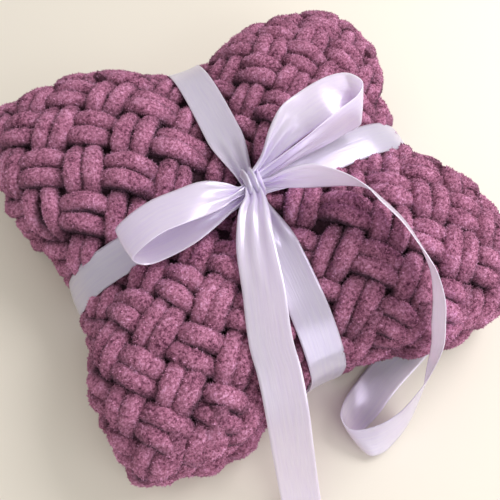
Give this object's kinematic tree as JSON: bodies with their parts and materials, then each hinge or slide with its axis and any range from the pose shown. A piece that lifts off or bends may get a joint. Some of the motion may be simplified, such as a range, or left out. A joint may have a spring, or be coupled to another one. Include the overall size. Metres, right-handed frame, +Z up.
{
  "type": "folded blanket",
  "caption": "Hand-knitted chunky chenille blanket, folded into a square bundle and tied crosswise with a satin ribbon and a bow.",
  "frame": {"origin": "middle of the object's box, on the surface that the folded blanket rests on", "axes": "+Z up; X runs across the folds, with two folds at -X and one fold and the free ends at +X; Y runs along the folds and is the direction in which the free ends of the ribbon reach out"},
  "size_m": [0.2978, 0.3854, 0.12],
  "materials": {
    "chenille_knit": "matte pile",
    "satin_ribbon": "satin"
  },
  "bodies": {
    "root": {"blanket": "chenille_knit", "ribbon_wrap_cross": "satin_ribbon", "ribbon_wrap_long": "satin_ribbon", "knot": "satin_ribbon", "bow_loop_left": "satin_ribbon", "bow_loop_right": "satin_ribbon", "tail_front": "satin_ribbon", "tail_side": "satin_ribbon"}
  },
  "joints": []
}
